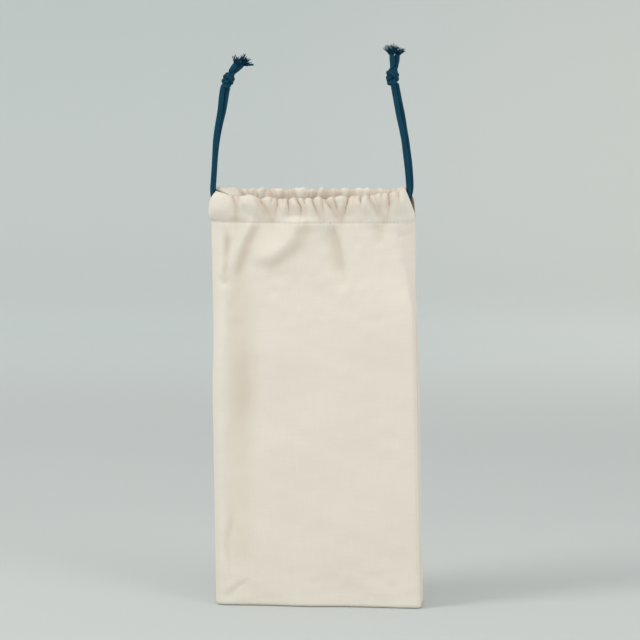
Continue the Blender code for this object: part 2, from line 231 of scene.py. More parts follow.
bend = np.radians(np.linspace(0, 90, bend_rows + 1))[1:]
sheet_y = np.concatenate([
    np.linspace(sheet_front, sheet_bend, flat_rows),
    sheet_bend + sheet_bend_radius * np.sin(bend),
    np.full(wall_rows, sheet_bend + sheet_bend_radius)])
sheet_z = np.concatenate([
    np.zeros(flat_rows),
    sheet_bend_radius * (1 - np.cos(bend)),
    np.linspace(sheet_bend_radius, sheet_top, wall_rows + 1)[1:]])
sheet_x = np.linspace(-sheet_reach, sheet_reach, 9)
sheet_places = np.stack(np.broadcast_arrays(
    sheet_x[None, :], sheet_y[:, None], sheet_z[:, None] - sheet_drop), axis=-1)
studio_sheet = net("studio_sheet", sheet_places, sheet_finish)

sky = bpy.data.worlds.new("studio_sky")
sky.use_nodes = True
sky.node_tree.nodes["Background"].inputs["Color"].default_value = (*sky_colour, 1.0)
sky.node_tree.nodes["Background"].inputs["Strength"].default_value = sky_strength
bpy.context.scene.world = sky


def ray(turn, rise):
    """The direction from the bag to a camera or a lamp."""
    level = math.cos(rise)
    return Vector((math.sin(turn) * level, -math.cos(turn) * level, math.sin(rise)))


def stand(name, data, aim, towards, distance):
    """A camera or a lamp at a distance from its aim, looking at it."""
    item = placed(name, data)
    item.location = aim + towards * distance
    item.rotation_euler = (-towards).to_track_quat("-Z", "Y").to_euler()
    return item


def soft_lamp(name, size, power, turn, rise):
    lamp = bpy.data.lights.new(name, "AREA")
    lamp.shape = "DISK"
    lamp.size = size
    lamp.energy = power
    lamp.color = lamp_colour
    stand(name, lamp, lamp_aim, ray(turn, rise), lamp_distance)


soft_lamp("soft_lamp", lamp_size, lamp_power, lamp_turn, lamp_rise)
soft_lamp("fill_lamp", fill_size, fill_power, fill_turn, fill_rise)

camera = bpy.data.cameras.new("camera")
camera.lens = camera_lens
camera.sensor_width = 36
bpy.context.scene.camera = stand(
    "camera", camera, camera_aim, ray(camera_turn, camera_rise), camera_distance)
bpy.context.scene.view_settings.view_transform = "Standard"


# The two drawstrings, of fine braided dark blue cotton. Each one runs round the mouth through
# both casings, and its two ends come out at one side and stand up to the knot that ties them.
cord_diameter = 0.004
lane_gap = 0.0040
lane_rise = 0.0032
braid_strands = 8
braid_pitch = 0.0016
braid_relief = 0.00011
cord_sides = 32
cord_step = 0.00048
held_sides = 20
held_step = 0.0012
run_points = 13
stitch_height = 0.3068
back_rim_height = 0.3330
front_rim_height = 0.3275
front_rim_rise = 0.0052
front_rim_tilt = 0.0018
back_rim_rise = 0.0012
foot_width = 0.1656
waist_width = 0.1632
casing_width = 0.1660
hem_width = 0.132
body_depth = 0.034
mouth_depth = 0.026
mouth_power = 3.2
slit_gap = 0.0036
lean = 0.0058

# The four free strands, from the casing's end to the knot: places across, deep and up, in millimetres.
left_front_strand = (
    (-75.8, -3.6, 314.8), (-79.5, -2.9, 319.2), (-81.7, -2.6, 325.5),
    (-82.4, -2.5, 332), (-82, -2.5, 339.2), (-81.2, -2.4, 350.4),
    (-80.6, -2.3, 361.6), (-79.9, -2.2, 372.8), (-78.3, -2.1, 384),
    (-76.4, -1.9, 395.2), (-75.4, -1.6, 405), (-74.5, -1.3, 411.5),
    (-73.7, -1.1, 414.8),
)
left_back_strand = (
    (-75.8, 3.6, 314.8), (-79.5, 2.9, 319.2), (-81.7, 2.6, 325.5),
    (-82.4, 2.5, 332), (-82, 2.5, 339.2), (-81.2, 2.4, 350.4),
    (-80.3, 2.3, 361.6), (-78.8, 2.2, 372.8), (-76.6, 2.1, 384),
    (-73.8, 1.9, 395.2), (-72, 1.8, 405), (-71.2, 1.7, 410),
    (-70.4, 1.6, 413.2),
)
right_front_strand = (
    (70, -4.9, 323.2), (72.8, -3.4, 327.5), (73.8, -2.6, 333),
    (73.5, -2.2, 339.2), (72.8, -2.1, 347.2), (71.9, -2, 355.2),
    (70.9, -2, 363.2), (69.9, -1.9, 371.2), (68.2, -1.9, 380),
    (65.7, -1.9, 391.2), (63.6, -1.9, 402.4), (61.8, -1.9, 412.5),
    (61.1, -1.9, 416.4),
)
right_back_strand = (
    (70, 4.9, 323.2), (73.8, 3.4, 327.5), (75.3, 2.6, 333),
    (75.4, 2.2, 339.2), (74.9, 2.1, 347.2), (74.2, 2, 355.2),
    (73.1, 2, 363.2), (72, 1.9, 371.2), (70.5, 1.9, 380),
    (68.7, 1.9, 391.2), (66.4, 1.9, 402.4), (64.4, 1.9, 412.5),
    (63.6, 1.9, 416.3),
)

cord_finish, cord_shader, cord_place = finish("braided_cord", 0.88, 0.12, 0.03)
cord_round, cord_run, _ = cord_place.node("ShaderNodeUVMap", uv_map="surface").split()
cord_turn = cord_round * braid_strands
cord_along = cord_run / braid_pitch
one_way = cord_turn + cord_along
other_way = cord_turn - cord_along
pick = (one_way * math.pi).sine().size() * (other_way * math.pi).sine().size()
top_yarn = ((one_way.floor() + other_way.floor()) * (math.pi / 2)).sine().size()
yarn_line = top_yarn * (one_way * 5 * math.pi).sine() + (1 - top_yarn) * (other_way * 5 * math.pi).sine()
cord_fuzz = cord_place.noise(2600.0, 3.0)
# Painted shade: the braid's colour is lighter on the picks and darker in the gaps between them, and the
# noise adds uneven tone.
cord_tone_and_gap_shade = pick.between(0.0, 0.75) * 0.30 + cord_fuzz * 0.30
cord_tone_and_gap_shade = cord_tone_and_gap_shade + cord_place.noise(90.0, 2.0) * 0.55 + yarn_line * 0.04
cord_paint = cord_tone_and_gap_shade.between(0.1, 1.0).blend((0.0016, 0.0215, 0.0445), (0.0054, 0.0700, 0.1220))
cord_paint.into(cord_shader, "Base Color")
(yarn_line * 0.35 + cord_fuzz * 0.6 + pick * 0.4).raise_surface(cord_shader, 0.6, 0.0001)


def smooth_step(value):
    held = np.clip(value, 0.0, 1.0)
    return held * held * (3 - 2 * held)


def mix(a, b, share):
    return a + (b - a) * share


def shift(z):
    """How far the bag leans to the side at a height: right at the foot, left at the mouth."""
    return lean * (0.5 - z / back_rim_height)


def half_width(z):
    """Half the width between the side seams, and of the casing above them."""
    body = mix(foot_width, waist_width, np.minimum(1.0, z / stitch_height))
    casing = smooth_step((z - stitch_height) / (2 * cord_diameter))
    return mix(body, casing_width, casing) / 2


def rim_height(front, s):
    if front:
        return front_rim_height + front_rim_tilt * s + front_rim_rise * s * s
    return back_rim_height + back_rim_rise * s * s


def mouth_surface(s, share):
    """Half the mouth's depth at a share of its half width, where the cords run."""
    side = slit_gap * share
    return side + (mouth_depth / 2 - side) * (1 - np.abs(s) ** mouth_power)


def in_metres(points):
    """Places given in millimetres as metres, to the nearest micrometre."""
    return np.round(np.array(points) / 1000, 6)


def curve_point(a, b, c, d, share):
    """A point between b and c on the smooth curve through all four."""
    first = np.linalg.norm(b - a) ** 0.5
    second = first + np.linalg.norm(c - b) ** 0.5
    third = second + np.linalg.norm(d - c) ** 0.5
    at = mix(first, second, share)
    ab = mix(a, b, at / first)
    bc = mix(b, c, share)
    cd = mix(c, d, (at - second) / (third - second))
    return mix(mix(ab, bc, at / second), mix(bc, cd, (at - first) / (third - first)), share)


def run_along(line):
    """How far along a line each of its points lies."""
    return np.concatenate([[0.0], np.linalg.norm(np.diff(line, axis=0), axis=1).cumsum()])


def even_steps(line, spacing):
    """Points at even steps along a line of points."""
    reach = run_along(line)
    at = np.linspace(0, reach[-1], max(2, round(reach[-1] / spacing)) + 1)
    return np.stack([np.interp(at, reach, line[:, axis]) for axis in range(3)], axis=1)


def smooth_route(points, spacing):
    """Points at even steps along a smooth curve through a cord's own points."""
    points = [np.array(point) for point in points]
    padded = [points[0] * 2 - points[1], *points, points[-1] * 2 - points[-2]]
    fine = []
    for a, b, c, d in zip(padded, padded[1:], padded[2:], padded[3:]):
        fine += [curve_point(a, b, c, d, n / 16) for n in range(16)]
    return even_steps(np.array([*fine, points[-1]]), spacing)


def rings(line):
    """For each point of a line, two directions across it, turned as little as they can be."""
    ahead = np.gradient(line, axis=0)
    ahead /= np.linalg.norm(ahead, axis=1)[:, None]
    side = np.cross(ahead[0], (0.0, 1.0, 0.0))
    if np.linalg.norm(side) < 0.2:
        side = np.cross(ahead[0], (1.0, 0.0, 0.0))
    sides = []
    for direction in ahead:
        side = side - direction * np.dot(side, direction)
        side = side / np.linalg.norm(side)
        sides.append(side)
    sides = np.array(sides)
    return sides, np.cross(ahead, sides)


def braid(turn, along):
    """How far the braid's picks stand proud, from 0 in the gaps to 1 on a pick."""
    one = braid_strands * turn + along / braid_pitch
    other = braid_strands * turn - along / braid_pitch
    across = np.abs(np.sin(np.pi * one))
    down = np.abs(np.sin(np.pi * other))
    over = (np.floor(one) + np.floor(other)) % 2 == 0
    return np.where(over, across ** 0.8 * down ** 0.4, across ** 0.4 * down ** 0.8)


def cord_piece(name, line, radius, sides=cord_sides):
    """A braided cord along a line. Its radius is one number, or one for each point."""
    across, beside = rings(line)
    along = run_along(line)
    turn = np.arange(sides) / sides
    radius = np.broadcast_to(radius, len(line))[:, None]
    proud = (braid(turn[None, :], along[:, None]) - 0.6) * braid_relief / (cord_diameter / 2)
    reach = radius * (1 + proud)
    angle = 2 * np.pi * turn
    places = line[:, None, :] + reach[:, :, None] * (
        across[:, None, :] * np.cos(angle)[None, :, None]
        + beside[:, None, :] * np.sin(angle)[None, :, None])
    return net(name, places, cord_finish, True, along, np.append(turn, 1.0))


def casing_run(front, z, start, end):
    """The stretch of a cord inside one casing, closer points towards its ends."""
    x = mix(start, end, (1 - np.cos(np.pi * np.arange(run_points) / (run_points - 1))) / 2)
    share = (z - stitch_height) / (rim_height(front, 0.0) - stitch_height)
    depth = mouth_surface(x / half_width(z), share)
    return list(zip(x + shift(z), -depth if front else depth, np.full(run_points, z)))


def drawstring(side, lane, front_strand, back_strand):
    """One cord: its two free strands, and the run round the mouth that is held in the casings."""
    name = "right" if side > 0 else "left"
    z = stitch_height + lane_rise + cord_diameter / 2 + lane * (cord_diameter + lane_gap)
    inside = hem_width / 2 - cord_diameter / 2
    depth = mouth_surface(inside / half_width(z), 0.4)
    loop = []
    for degrees in (30, 60, 90, 120, 150):
        out, around = math.sin(math.radians(degrees)), math.cos(math.radians(degrees))
        reach = -side * (inside + 2 * cord_diameter * out)
        loop.append((reach + shift(z), -depth * around * abs(around) ** 0.4, z))
    front_run = casing_run(True, z, side * inside, -side * inside)
    back_run = casing_run(False, z, -side * inside, side * inside)
    front_strand, back_strand = in_metres(front_strand), in_metres(back_strand)
    held = smooth_route([front_strand[0], *front_run, *loop, *back_run, back_strand[0]], held_step)
    held_cord = cord_piece(name + "_casing_cord", held, cord_diameter / 2 * 0.98, held_sides)
    front_line = smooth_route(front_strand, cord_step)
    back_line = smooth_route(back_strand, cord_step)
    front_cord = cord_piece(name + "_front_cord", front_line, cord_diameter / 2)
    back_cord = cord_piece(name + "_back_cord", back_line, cord_diameter / 2)
    for piece in (held_cord, front_cord, back_cord):
        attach(piece, "root")
        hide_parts(name + "_drawstring")
    return (front_cord, front_line), (back_cord, back_line)


left_strands = drawstring(-1, 0, left_front_strand, left_back_strand)
right_strands = drawstring(1, 1, right_front_strand, right_back_strand)


# The overhand knot that ties each cord's two ends, one above each side of the bag. The two
# strands lie side by side and go round together, drawn tight until they press on each other.
knot_strand = 0.0023
knot_radius = 0.00122
knot_nodes = 90
knot_half = 0.0052
knot_rounds = 260
knot_ease = 0.12
knot_pace = 0.00056
knot_reach = 0.0082
knot_step = 0.0006
loose_reach = 0.030
loop_size = 0.0035
loop_depth = 1.3


def drawn_tight():
    """Two strands side by side in an open overhand knot, whose ends are then pulled apart. Each
    strand keeps its length, which is let out through the ends, and strands push each other off."""
    turn = np.linspace(math.pi + 0.12, 3 * math.pi - 0.12, 200)
    loop = np.stack([np.sin(turn) + 2 * np.sin(2 * turn),
                     np.cos(turn) - 2 * np.cos(2 * turn), -loop_depth * np.sin(3 * turn)], 1) * loop_size
    lead = np.array([[0.030, -0.022, 0.0], [0.016, -0.020, 0.0], [0.006, -0.0165, 0.0],
                     [0.0016, -0.0140, 0.0]])
    line = even_steps(np.concatenate([lead, loop, lead[::-1] * (-1, 1, 1)]), 0.001)
    line = np.stack([np.interp(np.linspace(0, 1, knot_nodes), np.linspace(0, 1, len(line)), line[:, k])
                     for k in range(3)], 1)
    open_pace = np.linalg.norm(np.diff(line, axis=0), axis=1).mean()
    aside = (0, 0, knot_strand / 2)
    pair = np.stack([line + aside, line - aside])
    strand = np.repeat([0, 1], knot_nodes)
    order = np.tile(np.arange(knot_nodes), 2)
    one, other = np.triu_indices(2 * knot_nodes, 1)
    apart = np.abs(order[one] - order[other])
    for step in range(knot_rounds):
        share = min(1.0, step / (knot_rounds * 0.8))
        pace = mix(open_pace, knot_pace, share)
        reach = mix(loose_reach, knot_reach, share)
        near = math.ceil(knot_strand * 1.15 / pace) + 1
        touching = (strand[one] != strand[other]) | (apart > near)
        for k, side in ((0, 1), (1, -1)):
            for n in (0, 1):
                pair[k, n] = (reach - n * pace, 0, side * knot_strand / 2)
                pair[k, -1 - n] = (n * pace - reach, 0, side * knot_strand / 2)
        for _ in range(4):
            for odd in (0, 1):
                last = odd + (knot_nodes - odd) // 2 * 2
                first, second = pair[:, odd:last:2], pair[:, odd + 1:last + 1:2]
                gap = second - first
                long = np.maximum(np.linalg.norm(gap, axis=2, keepdims=True), 1e-9)
                fix = gap * (0.5 * (long - pace) / long)
                first += fix
                second -= fix
            nodes = pair.reshape(-1, 3)
            gap = nodes[other] - nodes[one]
            long = np.linalg.norm(gap, axis=1)
            hit = touching & (long < knot_strand)
            first, second = one[hit], other[hit]
            push = gap[hit] * (0.5 * (long[hit] - knot_strand) / np.maximum(long[hit], 1e-9))[:, None]
            total, times = np.zeros_like(nodes), np.zeros(len(nodes))
            np.add.at(total, first, push)
            np.add.at(total, second, -push)
            np.add.at(times, first, 1)
            np.add.at(times, second, 1)
            pair = (nodes + total / np.maximum(1, times * 0.6)[:, None]).reshape(2, knot_nodes, 3)
        pair[:, 1:-1] += knot_ease * (pair[:, :-2] + pair[:, 2:] - 2 * pair[:, 1:-1])
    return pair


tight_pair = drawn_tight()


def knot(name, centre, lean_over, turned, fullness, strands, tails):
    """A knot at a centre, leaning over by an angle and turned about its own length. Its two
    strands run on from the cord's free strands and end where the tails start."""
    tilt, about = math.radians(lean_over), math.radians(turned)
    up = np.array([math.sin(tilt), 0, math.cos(tilt)])
    side = np.array([math.cos(tilt), 0, -math.sin(tilt)])
    deep = np.array([0.0, 1.0, 0.0])
    parts = []
    for (_, strand), nodes, tail_points in zip(strands, tight_pair[::-1], tails):
        nodes = nodes[np.abs(nodes[:, 0]) < knot_half][::2]
        turn_share = 1 - smooth_step((np.abs(nodes[:, 0]) - 0.0035) / 0.003)
        angle = about * turn_share
        y = nodes[:, 1] * np.cos(angle) - nodes[:, 2] * np.sin(angle)
        z = nodes[:, 1] * np.sin(angle) + nodes[:, 2] * np.cos(angle)
        places = np.array(centre) + fullness * (y[:, None] * side + z[:, None] * deep - nodes[:, :1] * up)
        points = [*strand[[-8, -2]], *places, *in_metres(tail_points[1:3])]
        line = smooth_route(points, knot_step)
        share = np.linspace(0, 1, len(line))
        radius = mix(cord_diameter / 2 * 0.99, knot_radius * fullness, smooth_step(share / 0.09))
        radius = mix(radius, tail_root_radius, smooth_step((share - 0.92) / 0.08))
        parts.append(cord_piece(name, line, radius, held_sides))
    with bpy.context.temp_override(
            active_object=parts[0], selected_editable_objects=parts, selected_objects=parts):
        bpy.ops.object.join()
    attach(parts[0], "root")
    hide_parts(name.replace("_tied", ""))
    return parts[0]


# The four tails above the knots, from inside the knot to the tip, in millimetres. Each is the cut
# end of the cord, whose braid has come undone and opened into a tuft of single yarns.
left_left_tail = ((-70.5, -1, 422.5), (-68.2, -1.2, 426.2), (-65, -1.4, 430),
                  (-62.8, -1.6, 433.8), (-61.8, -1.8, 439.8))
left_right_tail = ((-69, 1, 422), (-66.2, 1.2, 424.8), (-62.2, 1.4, 428.6),
                   (-57.8, 1.6, 432.6), (-52, 1.8, 437.2))
right_left_tail = ((60, -1.2, 423.5), (60.4, -1.4, 428.3), (60.6, -1.5, 434),
                   (60.2, -1.6, 439), (59.7, -1.8, 447))
right_right_tail = ((62.2, 1.2, 423.5), (63.1, 1.4, 428.3), (63.8, 1.5, 434),
                    (64.4, 1.6, 439), (67.2, 1.8, 446))
tail_root_radius = 0.0017
tail_radius = 0.0022
tail_sides = 24
tail_step = 0.0005
yarn_root_depth = 0.0008
yarn_root_ring = 0.0015
yarn_stray = 0.10
yarns_in_tail = 100
yarn_thickness = 0.00026
yarn_curl = 0.0052
yarn_points = 9

left_knot = knot("left_knot_tied", (-0.0702, 0, 0.4196), 21, 200, 1.08,
                 left_strands, (left_left_tail, left_right_tail))
right_knot = knot("right_knot_tied", (0.0604, 0, 0.4224), 2, 160, 1.18,
                  right_strands, (right_left_tail, right_right_tail))

yarn_finish, yarn_shader, yarn_place = finish("loose_yarn", 0.9, 0.12)
yarn_fade = yarn_place.noise(700.0, 2.0).between(0.3, 0.7)
yarn_fade.blend((0.0020, 0.0225, 0.0450), (0.0085, 0.0760, 0.1240)).into(yarn_shader, "Base Color")


def made_tree(name, inputs):
    """A geometry tree with a geometry input and the named inputs, each as a signal."""
    tree = bpy.data.node_groups.new(name, "GeometryNodeTree")
    tree.interface.new_socket(name="Geometry", in_out="OUTPUT", socket_type="NodeSocketGeometry")
    tree.interface.new_socket(name="Geometry", in_out="INPUT", socket_type="NodeSocketGeometry")
    for label, kind in inputs.items():
        tree.interface.new_socket(name=label, in_out="INPUT", socket_type=kind)
    entry = tree.nodes.new("NodeGroupInput")
    return tree, {socket.name: Signal(tree, socket) for socket in entry.outputs}


def end_tree(tree, geometry, made):
    """The tree's last nodes: its instances made real, and its material set."""
    plain = geometry.node("GeometryNodeRealizeInstances", {"Geometry": geometry})
    painted = plain.node("GeometryNodeSetMaterial", {"Geometry": plain, "Material": made})
    leave = tree.nodes.new("NodeGroupOutput")
    tree.links.new(painted.socket, leave.inputs["Geometry"])


def grown(name, places, ways, tree, values):
    """A piece grown by a geometry tree from a mesh of places, kept as a plain mesh. Where the
    places have ways, each is a point with its own direction, and otherwise they are a line."""
    mesh = bpy.data.meshes.new(name)
    edges = [] if ways is not None else [(n, n + 1) for n in range(len(places) - 1)]
    mesh.from_pydata([tuple(place) for place in places], edges, [])
    if ways is not None:
        mesh.attributes.new("way", "FLOAT_VECTOR", "POINT").data.foreach_set("vector", np.ravel(ways))
    piece = placed(name, mesh)
    modifier = piece.modifiers.new(tree.name, "NODES")
    modifier.node_group = tree
    for item in tree.interface.items_tree:
        if item.in_out == "INPUT" and item.name in values:
            modifier[item.identifier] = values[item.name]
    bpy.context.view_layer.update()
    evaluated = piece.evaluated_get(bpy.context.evaluated_depsgraph_get())
    plain = bpy.data.meshes.new_from_object(evaluated)
    piece.modifiers.remove(modifier)
    piece.data = plain
    plain.name = name
    return piece


yarn_tree, yarn_in = made_tree("loose_yarns", {
    "Yarn Length": "NodeSocketFloat", "Yarn Thickness": "NodeSocketFloat", "Curl": "NodeSocketFloat",
    "Seed": "NodeSocketInt", "Finish": "NodeSocketMaterial"})
grow = Signal(yarn_tree)
yarn_line = grow.node("GeometryNodeCurvePrimitiveLine", {"End": (0.0, 0.0, 1.0)})
yarn_line = grow.node("GeometryNodeResampleCurve", {"Curve": yarn_line, "Count": yarn_points})
yarn_way = grow.node("GeometryNodeInputNamedAttribute", {"Name": "way"}, data_type="FLOAT_VECTOR")
yarn_turn = grow.node("FunctionNodeAlignRotationToVector", {"Vector": yarn_way}, axis="Z")
yarn_long = grow.node(
    "FunctionNodeRandomValue", {2: 0.35, 3: 1.0, "Seed": yarn_in["Seed"]}, 1, data_type="FLOAT")
yarns = grow.node("GeometryNodeInstanceOnPoints", {
    "Points": yarn_in["Geometry"], "Instance": yarn_line, "Rotation": yarn_turn,
    "Scale": yarn_long * yarn_in["Yarn Length"]})
yarns = grow.node("GeometryNodeRealizeInstances", {"Geometry": yarns})
yarn_number = (grow.node("GeometryNodeInputIndex") / float(yarn_points)).floor()
yarn_noise = grow.node("ShaderNodeTexNoise", {
    "Vector": grow.node("GeometryNodeInputPosition"), "W": yarn_number * 3.7,
    "Scale": 150.0, "Detail": 1.0}, 1, noise_dimensions="4D")
yarn_shift = grow.node("ShaderNodeVectorMath", {0: yarn_noise, 1: (0.5, 0.5, 0.5)}, operation="SUBTRACT")
yarn_reach = grow.node("GeometryNodeSplineParameter") * yarn_in["Curl"]
yarn_shift = grow.node("ShaderNodeVectorMath", {0: yarn_shift, "Scale": yarn_reach}, operation="SCALE")
yarns = grow.node("GeometryNodeSetPosition", {"Geometry": yarns, "Offset": yarn_shift})
yarn_round = grow.node("GeometryNodeCurvePrimitiveCircle", {
    "Resolution": 4, "Radius": yarn_in["Yarn Thickness"]})
yarns = grow.node("GeometryNodeCurveToMesh", {
    "Curve": yarns, "Profile Curve": yarn_round, "Fill Caps": True})
end_tree(yarn_tree, yarns, yarn_in["Finish"])


def tail(name, points, body_share, spread, yarn_length, seed):
    """A tail: the cord's end as far as it still holds, and the yarns that have come loose from it."""
    line = smooth_route(in_metres(points[1:]), tail_step)
    line = line[: int(len(line) * body_share)]
    share = np.linspace(0, 1, len(line))
    radius = mix(tail_root_radius, tail_radius, smooth_step(share * 1.6))
    radius = radius * mix(1.0, 0.80, smooth_step(share * 5 - 4))
    end = cord_piece(name + "_end", line, radius, tail_sides)
    ahead = line[-1] - line[-4]
    ahead /= np.linalg.norm(ahead)
    across, beside = rings(line)
    draw = np.random.default_rng(seed)
    away = np.sqrt(draw.uniform(0, 1, yarns_in_tail))
    turn = draw.uniform(0, 2 * math.pi, yarns_in_tail)
    out = (across[-1] * np.cos(turn)[:, None] + beside[-1] * np.sin(turn)[:, None]) * away[:, None]
    roots = line[-1] - ahead * yarn_root_depth + out * yarn_root_ring
    ways = ahead + out * spread + draw.normal(0, yarn_stray, (yarns_in_tail, 3))
    ways /= np.linalg.norm(ways, axis=1)[:, None]
    tuft = grown(name + "_tuft", roots, ways, yarn_tree, {
        "Yarn Length": yarn_length, "Yarn Thickness": yarn_thickness, "Curl": yarn_curl,
        "Seed": seed, "Finish": yarn_finish})
    for piece in (end, tuft):
        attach(piece, "root")
        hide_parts(name)
    return [end, tuft]


tails = {name: tail(name, *shape) for name, *shape in (
    ("left_knot_left_tail", left_left_tail, 0.52, 0.70, 0.0074, 1),
    ("left_knot_right_tail", left_right_tail, 0.60, 0.95, 0.0082, 2),
    ("right_knot_left_tail", right_left_tail, 0.62, 0.75, 0.0088, 3),
    ("right_knot_right_tail", right_right_tail, 0.64, 0.80, 0.0076, 4))}

for strands, tied, side in ((left_strands, left_knot, "left"), (right_strands, right_knot, "right")):
    for (piece, line), extra in zip(strands, ("left_tail", "right_tail")):
        length = round(float(run_along(line)[-1]), 4)
        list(tails[side + "_knot_" + extra])


# The bag's cloth: one long strip of unbleached cotton, folded at the foot and sewn up both
# sides. Each end of the strip is turned down inside and stitched across as a casing, which the
# cords draw up into gathers.
cloth_thickness = 0.0005
layer_gap = 0.00015
two_layers = 2 * cloth_thickness + layer_gap
front_fineness = 3
back_fineness = 2
coarse_columns = 100
body_top = 0.2870
left_corner = 0.0085
right_corner = 0.0030
seam_dip = 0.0006
foot_round = 0.0026
foot_rows = 20
foot_top = 0.030
belly_rows = 42
belly_top = 0.225
chest_rows = 30
hem_edge = 0.3032
flat_width = 0.20
mouth_starts = 0.55
left_end_pull = 0.006
right_end_pull = 0.009
puff_height = 0.0040
gather_power = 1.15
seam_out = 0.0024
left_edge = 0.010
right_edge = 0.0035
# The fold depth at which the painted shade in a fold is full.
full_shade_depth = 0.0030
seam_lip = 0.0012
seam_flank = 0.0035
right_shoulder = 0.0024
left_shoulder = 0.0012
ridge_height = 0.0008
hollow_depth = 0.0033
face_rise = 0.0016
wide_swell = 0.00040
small_swell = 0.00012
fine_relief = 0.00022
rim_sway = 0.0006
rim_dip = 0.0004
gather_swell = 0.0003
gather_rise = 0.0012
pucker_height = 0.00018
pucker_pitch = 0.0031
hem_step = 0.0003
stitch_groove = 0.00035
channel_room = 0.0007
outer_room = 0.0006
rim_gap = 0.0012
rim_round = 0.0007
gather_sway = 0.0006
gather_reach = 0.06
front_drop = 0.0036
back_drop = 0.0018
front_ruffle = 0.0014
back_ruffle = 0.0008
weave_pitch = 0.00056

# Each valley between two puffs of the front casing: its place at the rim, halfway down and at
# the stitches, its depth there from 0 to 1, and its width, with places and widths in millimetres.
front_valleys = (
    (-64.9, -62.6, -63.5, 0.9, 1, 0.7, 1.6),
    (-69.5, -69, -68, 0.35, 0.10, 0, 3),
    (-60.6, -61.5, -62, 0.6, 0.2, 0, 1.3),
    (-42.7, -38.3, -33.5, 0.8, 1, 0.9, 1.9),
    (-46, -41, -37, 0.3, 0.5, 0.4, 3.4),
    (-29.5, -30, -32.6, 0.9, 1, 0.6, 1.4),
    (-33.5, -34.5, -34, 0.7, 0.5, 0.2, 1.3),
    (-25.2, -24.6, -26, 0.6, 0.2, 0, 1.3),
    (-20.8, -20, -21.6, 0.9, 0.8, 0.2, 1.5),
    (-13.6, -10.4, -12, 0.9, 0.9, 0.4, 1.5),
    (-8, -6.4, -5, 0.8, 0.4, 0.1, 1.3),
    (-1.3, 1.5, 5.5, 0.9, 1, 0.6, 1.5),
    (6.3, 7.1, 7.9, 0.7, 0.6, 0.5, 1.3),
    (9.1, 14.2, 21.3, 0.8, 1, 0.9, 1.7),
    (15.8, 18.2, 21.4, 0.7, 0.9, 0.7, 1.4),
    (26.8, 24.6, 21.9, 0.9, 1, 0.9, 1.8),
    (31.8, 31, 30, 0.6, 0.2, 0, 1.4),
    (36.5, 37.3, 38, 0.9, 0.35, 0, 1.5),
    (43.2, 47.7, 54.1, 0.9, 0.9, 0.7, 1.6),
    (47.7, 50.9, 55.3, 0.6, 0.6, 0.5, 1.4),
    (53.2, 54, 55, 0.6, 0.3, 0.3, 1.3),
    (58.5, 58.9, 57.3, 0.9, 1, 0.6, 1.6),
    (66.4, 67, 68, 0.7, 0.3, 0, 2.2),
)


def seeded_valleys(seed):
    """Valleys of the same kind for the casing at the back, at uneven places."""
    draw = np.random.default_rng(seed)
    valleys, x = [], -61.0
    while x < 66:
        slant = draw.uniform(-4, 4)
        deep = draw.uniform(0.5, 1.0)
        valleys.append((x - slant, x + draw.uniform(-1, 1), x + slant, deep * draw.uniform(0.8, 1),
                        deep, deep * draw.uniform(0.3, 0.9), draw.uniform(0.8, 1.4)))
        x += draw.uniform(2.1, 5.2)
    return valleys


back_valleys = seeded_valleys(7)

# Each fold on the front below the casing: its line of places across and up in millimetres, how
# far it stands out (or in, below zero), and its width on its left and on its right.
front_folds = (
    (((-48, 311), (-53.5, 301), (-59.5, 288), (-65, 275), (-67.5, 264)), 3.9, 6, 5.5),
    (((-70.5, 299), (-70, 286), (-70.5, 272), (-73, 257)), -3.4, 4.2, 4.2),
    (((-10, 313), (-14.5, 301.5), (-23, 289.5), (-34, 281.5), (-45, 277)), 4, 9, 7.5),
    (((13.5, 305), (17, 293), (20.5, 279), (24.5, 258)), -3.2, 8.5, 3.4),
    (((47.7, 307), (51, 297), (53, 288)), -1.8, 5, 4),
    (((66, 297), (72, 297.5), (79, 300.5)), -1.1, 1.6, 2.2),
    (((70, 309.5), (75, 311), (81, 314.4)), -1.3, 1.8, 1.8),
    (((-70.5, 4), (-66, 10.5), (-60.5, 16), (-51, 21.5)), -1, 1.1, 1.1),
    (((-71, 12), (-63, 19), (-54, 25.5)), 0.5, 3.4, 3),
    (((-66, 78), (-67.5, 63), (-70.8, 50), (-69.5, 38), (-68.4, 26)), -1.5, 1.8, 2.6),
    (((55, 140), (66, 133), (76, 131)), -0.5, 3, 3),
    (((-79, 263), (-73, 258.5), (-68, 262)), -1.2, 1.8, 2.2),
    (((-60, 262), (-66, 240), (-64, 215)), -0.8, 6, 6),
    (((-58, 200), (-56, 170), (-60, 130)), -0.6, 8, 9),
    (((-30, 268), (-34, 258), (-31, 250)), -0.5, 2.5, 3),
)


def unevenness(x, z, seed, size, count=14):
    """A soft unevenness of about one size in all directions, up and down about 0 by about 1."""
    draw = np.random.default_rng(seed)
    total = 0.0
    for _ in range(count):
        turn, start = draw.uniform(0, 2 * math.pi, 2)
        pace = 2 * math.pi / (size * draw.uniform(0.6, 1.6))
        total = total + np.sin((x * math.cos(turn) + z * math.sin(turn)) * pace + start)
    return total / math.sqrt(count / 2)


def through(share, seam, middle, rim):
    """A smooth change from the seam (0) by the middle (a half) to the rim (1)."""
    from_seam = seam * (1 - share) * (1 - 2 * share)
    return from_seam + 4 * middle * share * (1 - share) + rim * share * (2 * share - 1)


def hill(away, width, power=2):
    """1 at no distance, and falling off smoothly over about a width."""
    return np.exp(-np.abs(away / width) ** power)


